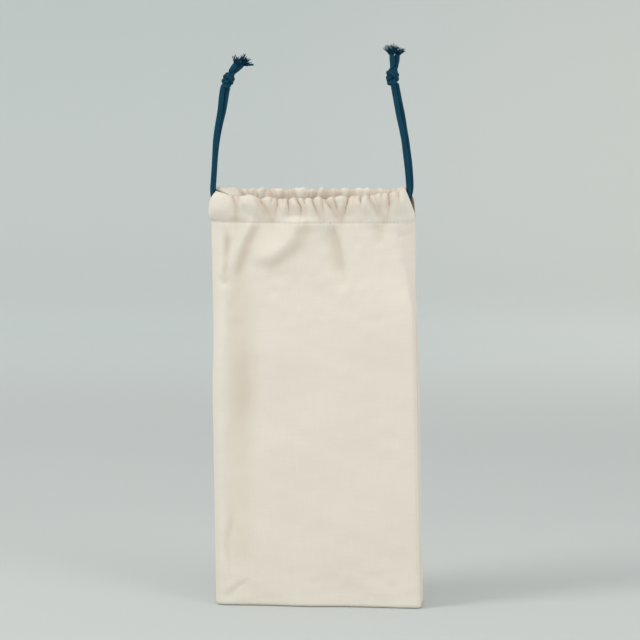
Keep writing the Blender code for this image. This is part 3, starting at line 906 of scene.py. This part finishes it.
def hollows(valleys, x, share):
    """How deep a place of the casing lies between the puffs, from 0 on a crest to 1 in a valley,
    and how far it's drawn in to the side there."""
    left = np.ones(np.broadcast(x, share).shape)
    lean_in = np.zeros(left.shape)
    for at_rim, at_middle, at_seam, rim, middle, seam, width in valleys:
        centre = through(share, at_seam, at_middle, at_rim) / 1000
        depth = np.clip(through(share, seam, middle, rim), 0, 1)
        away = (x - centre) / (width / 1000)
        left = left * (1 - depth * (0.6 * hill(away, 1, gather_power) + 0.4 * hill(away, 2.6)))
        lean_in -= depth * away * hill(away, 1) * gather_sway
    return 1 - left, lean_in


def along_line(x, z, points):
    """How far places lie to the right of a line of points, and how far along it, as a share."""
    points = np.array(points) / 1000
    best = np.full(x.shape, 1e9)
    aside = np.zeros(x.shape)
    share = np.zeros(x.shape)
    count = len(points) - 1
    for n, (start, end) in enumerate(zip(points, points[1:])):
        step = end - start
        length = np.hypot(*step)
        along = ((x - start[0]) * step[0] + (z - start[1]) * step[1]) / length ** 2
        held = np.clip(along, 0, 1)
        away = np.hypot(x - start[0] - held * step[0], z - start[1] - held * step[1])
        cross = ((x - start[0]) * step[1] - (z - start[1]) * step[0]) / length
        nearer = away < best
        best = np.where(nearer, away, best)
        aside = np.where(nearer, np.sign(cross) * away, aside)
        share = np.where(nearer, (n + along) / count, share)
    return aside, share


def folds(x, z, lines):
    """How far the body's folds stand out at each place, and how far it lies in their shade."""
    total, shade = np.zeros(x.shape), np.zeros(x.shape)
    for points, height, left, right in lines:
        aside, share = along_line(x, z, points)
        if points[0][1] > points[-1][1]:
            aside = -aside
        width = np.where(aside < 0, left, right) / 1000
        fade = smooth_step((share + 0.10) / 0.3) * smooth_step((1.15 - share) / 0.45)
        total += height / 1000 * hill(aside, width, 1.7) * fade
        if height > 2:
            shade += height / 4 * hill(aside * 1000 / right - 1.0, 0.75) * fade
    return total, shade


def section(z, across):
    """The body's outline at a height, at even shares of its length from seam to seam."""
    wide, deep = half_width(z), body_depth / 2
    dip = seam_dip * smooth_step((z - foot_round) / 0.02)
    corner = np.radians(np.linspace(0, 90, 12))
    bend_in, bend_out = 1 - np.cos(corner), 1 - np.sin(corner)
    x = np.concatenate([
        [-wide + dip, -wide + dip * 0.4, -wide],
        -wide + left_corner * bend_in,
        (wide - right_corner * bend_in)[::-1],
        [wide, wide - dip * 0.4, wide - dip]])
    depth = np.concatenate([
        [0.0, seam_lip, seam_flank],
        deep - left_corner * bend_out,
        (deep - right_corner * bend_out)[::-1],
        [seam_flank, seam_lip, 0.0]])
    reach = np.concatenate([[0.0], np.cumsum(np.hypot(np.diff(x), np.diff(depth)))])
    even = (across + 1) / 2 * reach[-1]
    return np.interp(even, reach, x), np.interp(even, reach, depth)


def mouth_shares(across):
    """The places of the strip's columns across the mouth, as shares of its half width."""
    s = np.linspace(-1, 1, 801)
    s = np.sign(s) * (1 - (1 - np.abs(s)) ** 1.6)
    depth = mouth_surface(s, 0.0)
    reach = np.concatenate([[0.0], np.cumsum(np.hypot(np.diff(s) * casing_width / 2, np.diff(depth)))])
    return np.interp((across + 1) / 2 * reach[-1], reach, s)


def shoulder(s):
    """How much fuller the cloth is near its two upper corners than the cords draw it."""
    right = right_shoulder * hill(s - 0.87, 0.11)
    return (right + left_shoulder * hill(s + 0.90, 0.08)) * (1 - s ** 14)


def strip_columns(fineness):
    """The columns' places from seam to seam: closer in the body's two corners."""
    place = np.linspace(-1, 1, 2001)
    reach = np.cumsum(1 + 1.2 * hill(place + 0.85, 0.06, 4) + 4.0 * hill(place - 0.83, 0.04, 4))
    reach = (reach - reach[0]) / (reach[-1] - reach[0])
    coarse = np.interp(np.linspace(0, 1, coarse_columns + 1), reach, place)
    return np.interp(np.linspace(0, coarse_columns, coarse_columns * fineness + 1),
                     np.arange(coarse_columns + 1), coarse)


back_folds = (
    (((-30, 312), (-26, 296), (-17, 280)), 2.6, 6, 7),
    (((33, 312), (37, 298), (47, 283)), 2.8, 5, 7.5),
    (((4, 306), (2, 292), (4, 272)), -2, 6, 5),
    (((62, 305), (66, 285), (64, 262)), -1.6, 4, 5),
    (((-62, 300), (-60, 288), (-64, 266)), -1.2, 5, 4),
    (((60, 22), (68, 12), (73, 6)), 0.8, 2, 4),
)


def face_relief(x, z):
    """The face's own shape: a rounded ridge at the left, a hollow beside it, and a slow rise."""
    ridge = ridge_height * hill(x + 0.075, 0.006)
    hollow = -hollow_depth * hill(x + 0.058, 0.015) * (0.55 + 0.45 * smooth_step((z - 0.1) / 0.1))
    rise = face_rise * smooth_step((x + 0.04) / 0.11)
    return (ridge + hollow + rise) * smooth_step(z / 0.05)


def seam_swell(s):
    """How far the body stands out over the mouth's own shape at the stitches."""
    return seam_out * (1 - s ** 8) + shoulder(s)


def under_stitches(front, z, place):
    """What the gathers do to the body below the stitches: swell, drawing in, and painted shade in their
    hollows.
    """
    below = stitch_height - z
    if below >= gather_reach:
        return 0.0, 0.0, 0.0
    hollow, lean_in = hollows(front_valleys if front else back_valleys, place, np.zeros(place.shape))
    fade = math.exp(-below / 0.010)
    pucker = np.sin(place * 2 * math.pi / pucker_pitch + 3 * unevenness(place, 0.0, 9, 0.02, 5))
    swell = gather_swell * (1 - math.exp(-below / 0.008)) * smooth_step((gather_reach - below) / 0.05)
    swell = swell + gather_rise * (0.35 - hollow) * fade
    swell = swell + pucker_height * pucker * math.exp(-(below / 0.0035) ** 2)
    swell = swell - hem_step * smooth_step((hem_edge - z) / 0.0012) * math.exp(-below / 0.03)
    return swell, lean_in * fade, 0.5 * hollow * fade


def body_row(front, z, across):
    """One row of the body's outer face: places across, out and up, and how much painted shade it gets in
    its folds and hollows.
    """
    box_x, box_depth = section(z, across)
    s = mouth_shares(across)
    wide = half_width(z)
    starts = mouth_starts + 0.16 * smooth_step(across * 2)
    towards_mouth = smooth_step((z / stitch_height - starts) / (1 - starts))
    x = mix(box_x, wide * s, towards_mouth)
    depth = mix(box_depth, mouth_surface(s, 0.0) + seam_swell(s), towards_mouth)
    on_face = smooth_step((wide - np.abs(x)) / np.where(x > 0, right_edge, left_edge))
    place = x + shift(z)
    height = np.full(x.shape, z)
    creased, shade = folds(place, height, front_folds if front else back_folds)
    relief = face_relief(place, z) * (1 - 0.6 * towards_mouth)
    swell = creased + relief
    swell = swell + wide_swell * unevenness(place, z, 3 if front else 4, 0.060)
    swell = swell + small_swell * unevenness(place, z, 5 if front else 6, 0.016)
    # Painted shade: darker in the folds' valleys, in the face's hollow, on the shaded side of the ridges
    # and under the gathers.
    crease_shade = 0.7 * np.clip(-creased / full_shade_depth, 0, 1) + 0.6 * np.clip(-relief / full_shade_depth, 0, 1)
    gathers, drawn_in, gather_shade = under_stitches(front, z, place)
    crease_shade = crease_shade + 0.55 * shade + gather_shade
    # A thin dark line is painted along the right seam's edge into the same mark.
    turned = smooth_step((box_depth * 2 / body_depth - 0.5) / 0.3)
    edge = 0.6 * hill(wide - x, 0.0010) * turned
    return x + drawn_in + shift(z), depth + (swell + gathers) * on_face, height, crease_shade * on_face + edge


def end_pull(front, s, share):
    """How far the cords have drawn in the casing's end: slanted at the right of the front."""
    left = left_end_pull * share ** 4 * np.abs(s) ** 6
    if front:
        return np.where(s > 0, right_end_pull * share ** 1.3 * np.abs(s) ** 6, left)
    return np.where(s > 0, left + 0.0014 * smooth_step(share / 0.3) * s ** 6, left)


def casing_end(s):
    """1 along the casing, and 0 at its two open ends."""
    return 1 - smooth_step((np.abs(s) - 0.93) / 0.07)


def casing_puffs(front, s, share, plain, z, hollow, near_seam):
    """How far one row of the casing puffs out, how far its top is ruffled to and fro and dips,
    and how much painted shade falls along its stitches, more in some places than others."""
    seed = 20 if front else 30
    gathered = 1 - smooth_step((np.abs(s) - 0.74) / 0.06)
    size = 1 + 0.22 * unevenness(plain, 0.0, seed, 0.018, 6)
    lobe = smooth_step((-s - 0.76) / 0.08) if front else 0.0
    lobe_puff = float(smooth_step(share / 0.50) * (1 - 0.6 * smooth_step((share - 0.40) / 0.60)))
    profile = mix(float(smooth_step(share / 0.75)) ** 1.3, 0.42 * lobe_puff, lobe)
    puff = puff_height * profile * (1 - hollow) * size * mix(0.35, 1.0, casing_end(s))
    fine = unevenness(plain, z * 0.35, seed + 1, 0.0052, 8) * through(share, 0.2, 0.6, 1.0)
    fine = fine_relief * (fine * gathered + unevenness(plain, z, seed + 2, 0.020))
    ruffle = (front_ruffle if front else back_ruffle) * (0.4 - hollow) * casing_end(s)
    ruffle = ruffle + rim_sway * unevenness(plain, 0.0, seed + 3, 0.016, 6) * gathered
    drop = (front_drop if front else back_drop) * hollow * casing_end(s)
    drop = drop - rim_dip * unevenness(plain, 0.0, seed + 4, 0.009, 8) * gathered
    stitch_shade = np.clip(unevenness(plain, 0.0, seed + 5, 0.030, 6), 0, 1)
    return puff + fine * (1 - near_seam), ruffle, drop, stitch_shade


def casing_row(front, share, across, inner=0.0):
    """One row of the casing, at a share of the way from the stitches (0) to the rim (1): its
    outer wall, or its inner wall where inner is 1."""
    s = mouth_shares(across)
    z = stitch_height + share * (rim_height(front, s) - stitch_height)
    full = math.sin(math.pi / 2 * min(1.0, share / 0.26))
    over = math.sqrt(max(0.0, 1 - (max(0.0, share - 0.68) / 0.32) ** 2))
    start = two_layers - seam_out if inner else seam_out
    channel = mix(start, cord_diameter / 2 + channel_room + outer_room * (1 - inner), full)
    gap = mix(rim_gap, channel, over) * mix(1 - np.abs(s) ** 8, 1.0, smooth_step(share / 0.12))
    wide = half_width(z)
    plain = wide * s - np.sign(s) * end_pull(front, s, share) + shift(z)
    middle = mouth_surface(s, share)
    valleys = front_valleys if front else back_valleys
    hollow, lean_in = hollows(valleys, plain, np.full(s.shape, share))
    low_depth, low_shade = body_row(front, stitch_height, across)[1::2]
    flush = low_depth - mouth_surface(s, 0.0) - seam_swell(s)
    near_seam = float(1 - smooth_step(share / 0.28))
    at_stitches = math.exp(-(share / 0.02) ** 2) * (1 - s ** 8)
    stand_out = shoulder(s) * (near_seam if inner else 1.0) + flush * near_seam
    stand_out = stand_out - stitch_groove * at_stitches
    puff, ruffle, drop, stitch_shade = casing_puffs(front, s, share, plain, z, hollow, near_seam)
    x = plain + lean_in * mix(1.0, 0.5, inner)
    if inner:
        narrow = (s - (1 - hem_width / casing_width) * s * np.abs(s) ** 4) * wide + shift(z)
        x = mix(x, narrow, smooth_step((1 - share) / 0.25))
        depth = middle - gap - (0.6 if front else 0.75) * puff + stand_out
        outer_x, outer_depth = casing_row(front, share, across)[:2]
        depth = np.minimum(depth, np.interp(x, outer_x, outer_depth) - two_layers)
    else:
        depth = middle + gap + puff + stand_out
    # Painted shade: darker in the valleys between the puffs, blending into the body's painted shade near
    # the stitches, and darker along the stitch line.
    crease_shade = hollow * mix(0.7, 1.15, smooth_step(share / 0.4)) * casing_end(s)
    crease_shade = mix(crease_shade, low_shade, near_seam) + (0.25 + 0.45 * stitch_shade) * at_stitches
    round_top = smooth_step((share - 0.50) / 0.50)
    return x, depth + ruffle * round_top, z - drop * round_top, crease_shade


def rim_rows(front, across):
    """The fold over the top, from the outer wall to the inner one."""
    outer = casing_row(front, 1.0, across)
    inner = casing_row(front, 1.0, across, 1.0)
    rows = []
    for degrees in (36, 72, 108, 144):
        out, up = math.cos(math.radians(degrees)), math.sin(math.radians(degrees))
        share = (1 - out) / 2
        rows.append((
            mix(outer[0], inner[0], share),
            mix(outer[1], inner[1], share),
            mix(outer[2], inner[2], share) + up * rim_round,
            mix(outer[3], inner[3], share)))
    return rows


def top_rows(front, across):
    """The strip from just below the stitches up to the rim, over it, and down to the hem's edge."""
    rows = []
    for z in [*np.linspace(body_top, stitch_height, 12)[:-1], stitch_height - 0.0005]:
        rows.append(body_row(front, float(z), across))
    outer = np.concatenate([np.linspace(0, 0.7, 18), np.linspace(0.7, 1.0, 9)[1:]])
    for share in outer:
        rows.append(casing_row(front, float(share), across))
    rows += rim_rows(front, across)
    inner = np.concatenate([np.linspace(1.0, 0.75, 6), np.linspace(0.75, 0.0, 8)[1:]])
    for share in inner:
        rows.append(casing_row(front, float(share), across, 1.0))
    seam = rows[-1]
    for z in np.linspace(stitch_height, hem_edge, 3)[1:]:
        body = body_row(front, float(z), across)
        behind = np.minimum(seam[1], np.interp(seam[0], body[0], body[1]) - two_layers)
        rows.append((seam[0], behind, seam[2] - (stitch_height - z), seam[3]))
    return np.stack([np.stack(row, axis=-1) for row in rows])


def low_rows(front, across):
    """The strip from the foot's middle up to just below the gathers."""
    x, depth, _, crease_shade = body_row(front, foot_round, across)
    run_x, run_depth = np.gradient(x), np.gradient(depth)
    length = np.hypot(run_x, run_depth)
    out_x, out_depth = -run_depth / length, run_x / length
    reach = np.minimum(foot_round, 0.6 * np.abs(depth))
    bends = []
    for degrees in (90, 68, 45, 22):
        turn, lift = 1 - math.cos(math.radians(degrees)), 1 - math.sin(math.radians(degrees))
        bends.append((x - out_x * reach * turn, depth - out_depth * reach * turn,
                      np.full(x.shape, foot_round * lift), crease_shade))
    edge_x, edge_depth = bends[0][0], bends[0][1]
    rows = [(edge_x * (0.95 + 0.05 * share), edge_depth * share, np.zeros(x.shape), crease_shade)
            for share in (0.0, 0.35, 0.7, 0.92)]
    rows += bends
    heights = np.concatenate([
        np.linspace(foot_round, foot_top, foot_rows), np.linspace(foot_top, belly_top, belly_rows)[1:],
        np.linspace(belly_top, body_top, chest_rows)[1:-1]])
    for z in heights:
        rows.append(body_row(front, float(z), across))
    return np.stack([np.stack(row, axis=-1) for row in rows])


def strip():
    """The whole strip's places in three nets: the front's top, both bodies, and the back's top."""
    coarse = strip_columns(1)
    tops = {True: top_rows(True, strip_columns(front_fineness)),
            False: top_rows(False, strip_columns(back_fineness))}
    lows = {front: low_rows(front, coarse) for front in (True, False)}
    for front, turn in ((True, -1), (False, 1)):
        tops[front][..., 1] *= turn
        lows[front][..., 1] *= turn
    body = np.concatenate([lows[True][::-1], lows[False][1:]])
    return tops[True][::-1], body, tops[False]


def strip_mesh(name, made):
    """The cloth as one mesh: the strip's three nets, joined where fine columns meet coarse ones."""
    places, faces, flat, edges = [], [], [], []
    start, length = 0, 0.0
    for rows in strip():
        steps = run_along(rows[:, rows.shape[1] // 2, :3])
        width = np.linspace(0, flat_width, rows.shape[1])
        spots = np.broadcast_arrays(width[None, :], (length + steps)[:, None])
        flat.append(np.stack(spots, -1).reshape(-1, 2))
        length += steps[-1] + 0.0015
        places.append(rows.reshape(-1, 4))
        count, columns = rows.shape[:2]
        row, column = np.meshgrid(np.arange(count - 1), np.arange(columns - 1), indexing="ij")
        at = start + row * columns + column
        faces += np.stack([at, at + 1, at + columns + 1, at + columns], -1).reshape(-1, 4).tolist()
        edges.append((start, start + (count - 1) * columns))
        start += count * columns
    joins = ((edges[0][1], edges[1][0], front_fineness, False),
             (edges[2][0], edges[1][1], back_fineness, True))
    for fine, coarse, fineness, turned in joins:
        for n in range(coarse_columns):
            first, last = coarse + n, coarse + n + 1
            along = [fine + fineness * n + step for step in range(fineness + 1)]
            half = fineness // 2
            fan = [(a, b, first) for a, b in zip(along[:half], along[1:half + 1])]
            fan += [(along[half], last, first)]
            fan += [(a, b, last) for a, b in zip(along[half:], along[half + 1:])]
            faces += [face[::-1] if turned else face for face in fan]
    places, flat = np.concatenate(places), np.concatenate(flat)
    mesh = bpy.data.meshes.new(name)
    mesh.from_pydata(places[:, :3].tolist(), [], faces)
    mesh.attributes.new("crease_shade", "FLOAT", "POINT").data.foreach_set("value", places[:, 3])
    corners = np.zeros(len(mesh.loops), dtype=np.int32)
    mesh.loops.foreach_get("vertex_index", corners)
    mesh.uv_layers.new(name="surface").data.foreach_set("uv", flat[corners].ravel())
    work = bmesh.new()
    work.from_mesh(mesh)
    bmesh.ops.remove_doubles(work, verts=work.verts, dist=0.00003)
    bmesh.ops.dissolve_degenerate(work, edges=work.edges, dist=0.00001)
    work.normal_update()
    foot = [face for face in work.faces if face.calc_center_median().z < 0.0002]
    if sum(face.normal.z * face.calc_area() for face in foot) > 0:
        bmesh.ops.reverse_faces(work, faces=work.faces)
    work.to_mesh(mesh)
    work.free()
    return placed(name, mesh, made)


cloth_finish, cloth_shader, cloth_place = finish("unbleached_cotton", 0.9, 0.2, 0.08)
warp, weft, _ = cloth_place.node("ShaderNodeUVMap", uv_map="surface").split()


def slubs(across, along, seed):
    """Long thin thick places in the yarns that run one way."""
    place = cloth_place.node("ShaderNodeCombineXYZ", {"X": across * 1500.0, "Y": along * 60.0, "Z": seed})
    return place.noise(1.0, 2.0)


warp_slubs = slubs(warp, weft, 1.7)
weft_slubs = slubs(weft, warp, 5.3)
patches = cloth_place.noise(22.0, 3.0)
grain = cloth_place.noise(1400.0, 2.0)
weave = (warp * (2 * math.pi / weave_pitch)).sine() * (weft * (2 * math.pi / weave_pitch)).sine()
cloth_tone = patches * 0.35 + warp_slubs * 0.28 + weft_slubs * 0.30 + grain * 0.25
cloth_paint = cloth_tone.between(0.28, 1.02).blend((0.715, 0.672, 0.585), (0.775, 0.742, 0.668))
# Painted shade: the cloth turns darker and warmer where its attribute marks folds, hollows, gathers, the
# right seam's edge and the stitches.
painted_crease_shade = cloth_place.node("ShaderNodeAttribute", output="Fac", attribute_name="crease_shade")
cloth_paint = (painted_crease_shade.between(0.05, 1.1) * 0.85).blend(cloth_paint, (0.610, 0.520, 0.425))
cloth_paint.into(cloth_shader, "Base Color")
cloth_height = weave * 0.22 + warp_slubs * 0.45 + weft_slubs * 0.45 + grain * 0.4
cloth_height.raise_surface(cloth_shader, 0.35, 0.0002)

cloth = strip_mesh("cotton_cloth", cloth_finish)
wall = cloth.modifiers.new("wall", "SOLIDIFY")
wall.thickness = cloth_thickness
wall.offset = -1.0
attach(cloth, "root")
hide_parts("bag_cloth")


# The seams' cotton thread. A straight stitch runs along each casing, in step with the other
# side, and one more seam closes each side from within the fold of the cloth.
stitch_pitch = 0.0027
stitch_length = 0.0021
stitch_thickness = 0.00045
stitch_lift = 0.00012
row_step = 0.0009
thread_finish, thread_shader, thread_place = finish("sewing_thread", 0.8, 0.3)
thread_fade = thread_place.noise(900.0, 2.0).between(0.3, 0.7)
thread_fade.blend((0.700, 0.650, 0.560), (0.800, 0.765, 0.690)).into(thread_shader, "Base Color")

stitch_tree, stitch_in = made_tree("row_of_stitches", {
    "Pitch": "NodeSocketFloat", "Stitch Length": "NodeSocketFloat", "Thickness": "NodeSocketFloat",
    "Seed": "NodeSocketInt", "Finish": "NodeSocketMaterial"})
sew = Signal(stitch_tree)
row_curve = sew.node("GeometryNodeMeshToCurve", {"Mesh": stitch_in["Geometry"]})
row_points = sew.node(
    "GeometryNodeCurveToPoints", {"Curve": row_curve, "Length": stitch_in["Pitch"]}, mode="LENGTH")
row_turn = Signal(stitch_tree, row_points.socket.node.outputs["Rotation"])
one_stitch = sew.node("GeometryNodeMeshUVSphere", {"Segments": 6, "Rings": 5, "Radius": 0.5})
uneven = sew.node(
    "FunctionNodeRandomValue", {2: 0.85, 3: 1.05, "Seed": stitch_in["Seed"]}, 1, data_type="FLOAT")
stitch_size = sew.node("ShaderNodeCombineXYZ", {
    "X": stitch_in["Thickness"], "Y": stitch_in["Thickness"], "Z": uneven * stitch_in["Stitch Length"]})
stitches = sew.node("GeometryNodeInstanceOnPoints", {
    "Points": row_points, "Instance": one_stitch, "Rotation": row_turn, "Scale": stitch_size})
stitches = sew.node("GeometryNodeSetShadeSmooth", {"Geometry": stitches})
end_tree(stitch_tree, stitches, stitch_in["Finish"])

for front, name in ((True, "front_casing"), (False, "back_casing")):
    x, depth, z, _ = casing_row(front, 0.0, strip_columns(front_fineness)[6:-6])
    places = np.stack([x, (depth + stitch_lift) * (-1 if front else 1), z], axis=1)
    row = grown(name + "_stitches", even_steps(places, row_step), None, stitch_tree, {
        "Pitch": stitch_pitch, "Stitch Length": stitch_length, "Thickness": stitch_thickness,
        "Seed": 5 if front else 6, "Finish": thread_finish})
    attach(row, "root")
    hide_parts(name + "_thread")
for name in ("left_side_thread", "right_side_thread"):
    for node in bpy.data.objects:
        if node.name.split(".")[0] == name and node.type == "MESH":
            for slot in node.material_slots:
                slot.material = thread_finish
